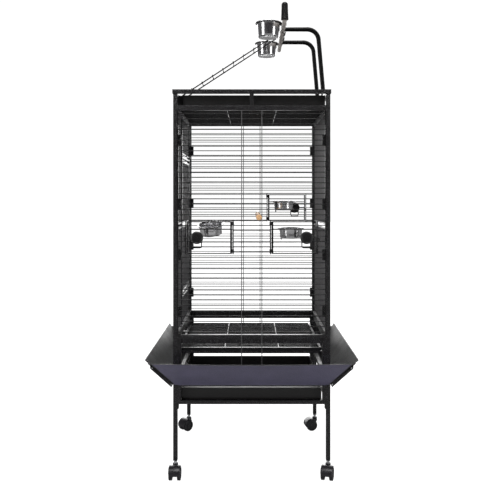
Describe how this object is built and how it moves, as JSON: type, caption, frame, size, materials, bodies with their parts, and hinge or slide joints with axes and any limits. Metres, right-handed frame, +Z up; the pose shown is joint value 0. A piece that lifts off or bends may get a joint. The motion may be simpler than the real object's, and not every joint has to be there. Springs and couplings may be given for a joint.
{
  "type": "bird cage on stand",
  "caption": "Tall square wire bird cage on a wheeled stand, with sloped seed skirt, swing-out feeders, sliding trays and a play perch with bowls and ladder on the roof.",
  "frame": {"origin": "on the floor under the middle of the cage", "axes": "+Z up; +Y from the near wall to the far wall; -X is the wall with the main door, where grate and trays slide out"},
  "size_m": [0.7748, 0.7724, 1.797],
  "materials": {
    "frame_coat": "black veined powder coat",
    "wire_coat": "black powder coat on wire",
    "skirt_slate": "slate powder coat, satin",
    "skirt_black": "black powder coat, satin",
    "tray_coat": "black powder coat, satin",
    "stainless": "polished stainless",
    "knob_plastic": "moulded, fine texture",
    "caster_plastic": "moulded nylon",
    "wheel_plastic": "moulded nylon tread",
    "grip_plastic": "moulded, soft sheen",
    "perch_wood": "grey brown stained dowel",
    "dowel_wood": "tan sanded dowel"
  },
  "bodies": {
    "cage": {"leg_front_left": "frame_coat", "leg_front_right": "frame_coat", "leg_back_left": "frame_coat", "leg_back_right": "frame_coat", "caster_sockets": "knob_plastic", "base_front_rails": "frame_coat", "base_back_rails": "frame_coat", "base_side_rails": "frame_coat", "skirt_front": "skirt_slate", "skirt_back": "skirt_black", "skirt_left": "skirt_black", "skirt_right": "skirt_black", "skirt_straps": "skirt_black", "post_front_left": "frame_coat", "post_front_right": "frame_coat", "post_back_left": "frame_coat", "post_back_right": "frame_coat", "ceiling_rails": "frame_coat", "ceiling_grille": "wire_coat", "top_rails": "frame_coat", "panel_clips": "knob_plastic", "front_grille": "wire_coat", "front_grille_middle": "wire_coat", "back_grille": "wire_coat", "back_grille_middle": "wire_coat", "tie_wires": "wire_coat", "left_grille_front": "wire_coat", "left_grille_ends": "wire_coat", "door_jambs": "frame_coat", "right_grille": "wire_coat", "inner_perch": "dowel_wood", "perch_arms": "frame_coat", "top_perch": "perch_wood", "perch_grip": "grip_plastic", "bowl_rings": "wire_coat"},
    "grate_drawer": {"grate": "wire_coat"},
    "tray_drawer": {"tray": "tray_coat"},
    "roof_drawer": {"roof_tray": "tray_coat"},
    "front_door": {"main_door": "wire_coat"},
    "front_door_latch": {"main_latch": "knob_plastic"},
    "ladder_body": {"ladder": "wire_coat"},
    "top_bowl_near": {"top_bowl_front": "stainless"},
    "top_bowl_far": {"top_bowl_back": "stainless"},
    "feeder_left": {"feeder_door_left": "wire_coat"},
    "latch_left": {"feeder_latch_left": "knob_plastic"},
    "bowl_left": {"feeder_bowl_left": "stainless"},
    "feeder_right": {"feeder_door_right": "wire_coat"},
    "latch_right": {"feeder_latch_right": "knob_plastic"},
    "bowl_right": {"feeder_bowl_right": "stainless"},
    "feeder_back": {"feeder_door_back": "wire_coat"},
    "latch_back": {"feeder_latch_back": "knob_plastic"},
    "bowl_back": {"feeder_bowl_back": "stainless"},
    "caster_fl": {"caster_hood_fl": "caster_plastic"},
    "wheels_fl": {"caster_wheels_fl": "wheel_plastic"},
    "caster_fr": {"caster_hood_fr": "caster_plastic"},
    "wheels_fr": {"caster_wheels_fr": "wheel_plastic"},
    "caster_bl": {"caster_hood_bl": "caster_plastic"},
    "wheels_bl": {"caster_wheels_bl": "wheel_plastic"},
    "caster_br": {"caster_hood_br": "caster_plastic"},
    "wheels_br": {"caster_wheels_br": "wheel_plastic"}
  },
  "joints": [
    {"name": "grate_slide", "type": "slide", "parent": "cage", "child": "grate_drawer", "axis": [-1, 0, 0], "range_m": [0, 0.5]},
    {"name": "tray_slide", "type": "slide", "parent": "cage", "child": "tray_drawer", "axis": [-1, 0, 0], "range_m": [0, 0.5]},
    {"name": "roof_tray_slide", "type": "slide", "parent": "cage", "child": "roof_drawer", "axis": [-1, 0, 0], "range_m": [0, 0.5]},
    {"name": "main_door_hinge", "type": "hinge", "parent": "cage", "child": "front_door", "pos_m": [-0.2972, 0.242, 0.942], "axis": [0, 0, -1], "range_deg": [0, 120]},
    {"name": "main_latch_turn", "type": "hinge", "parent": "front_door", "child": "front_door_latch", "pos_m": [-0.303, -0.028, 0.945], "axis": [-1, 0, 0], "range_deg": [0, 70]},
    {"name": "feeder_left_hinge", "type": "hinge", "parent": "cage", "child": "feeder_left", "pos_m": [-0.07, -0.2852, 0.905], "axis": [0, 0, 1], "range_deg": [0, 100]},
    {"name": "latch_left_turn", "type": "hinge", "parent": "feeder_left", "child": "latch_left", "pos_m": [-0.205, -0.29, 0.905], "axis": [0, 1, 0], "range_deg": [0, 70]},
    {"name": "bowl_left_lift", "type": "slide", "parent": "feeder_left", "child": "bowl_left", "axis": [-0.0853, -0.2079, 0.9744], "range_m": [0, 0.02]},
    {"name": "feeder_right_hinge", "type": "hinge", "parent": "cage", "child": "feeder_right", "pos_m": [0.07, -0.2852, 0.905], "axis": [0, 0, -1], "range_deg": [0, 100]},
    {"name": "latch_right_turn", "type": "hinge", "parent": "feeder_right", "child": "latch_right", "pos_m": [0.205, -0.29, 0.905], "axis": [0, -1, 0], "range_deg": [0, 70]},
    {"name": "bowl_right_lift", "type": "slide", "parent": "feeder_right", "child": "bowl_right", "axis": [0, 0, 1], "range_m": [0, 0.06]},
    {"name": "feeder_back_hinge", "type": "hinge", "parent": "cage", "child": "feeder_back", "pos_m": [0.07, 0.2852, 1.011], "axis": [0, 0, 1], "range_deg": [0, 100]},
    {"name": "latch_back_turn", "type": "hinge", "parent": "feeder_back", "child": "latch_back", "pos_m": [0.196, 0.29, 1.011], "axis": [0, -1, 0], "range_deg": [0, 70]},
    {"name": "bowl_back_lift", "type": "slide", "parent": "feeder_back", "child": "bowl_back", "axis": [0, 0, 1], "range_m": [0, 0.06]},
    {"name": "top_bowl_near_lift", "type": "slide", "parent": "cage", "child": "top_bowl_near", "axis": [0, 0, 1], "range_m": [0, 0.08]},
    {"name": "top_bowl_far_lift", "type": "slide", "parent": "cage", "child": "top_bowl_far", "axis": [0, 0, 1], "range_m": [0, 0.08]},
    {"name": "ladder_hinge", "type": "hinge", "parent": "cage", "child": "ladder_body", "pos_m": [0.125, 0, 1.728], "axis": [0, 1, 0], "range_deg": [0, 50]},
    {"name": "caster_fl_swivel", "type": "hinge", "parent": "cage", "child": "caster_fl", "pos_m": [-0.287, -0.272, 0.06], "axis": [0, 0, 1], "continuous": true},
    {"name": "wheels_fl_spin", "type": "hinge", "parent": "caster_fl", "child": "wheels_fl", "pos_m": [-0.287, -0.29, 0.025], "axis": [-1, 0, 0], "continuous": true},
    {"name": "caster_fr_swivel", "type": "hinge", "parent": "cage", "child": "caster_fr", "pos_m": [0.287, -0.272, 0.06], "axis": [0, 0, 1], "continuous": true},
    {"name": "wheels_fr_spin", "type": "hinge", "parent": "caster_fr", "child": "wheels_fr", "pos_m": [0.28234, -0.28939, 0.025], "axis": [-0.9659, 0.2588, 0], "continuous": true},
    {"name": "caster_bl_swivel", "type": "hinge", "parent": "cage", "child": "caster_bl", "pos_m": [-0.287, 0.272, 0.06], "axis": [0, 0, 1], "continuous": true},
    {"name": "wheels_bl_spin", "type": "hinge", "parent": "caster_bl", "child": "wheels_bl", "pos_m": [-0.29973, 0.25927, 0.025], "axis": [-0.7071, 0.7071, 0], "continuous": true},
    {"name": "caster_br_swivel", "type": "hinge", "parent": "cage", "child": "caster_br", "pos_m": [0.287, 0.272, 0.06], "axis": [0, 0, 1], "continuous": true},
    {"name": "wheels_br_spin", "type": "hinge", "parent": "caster_br", "child": "wheels_br", "pos_m": [0.26927, 0.26887, 0.025], "axis": [-0.1736, 0.9848, 0], "continuous": true}
  ]
}
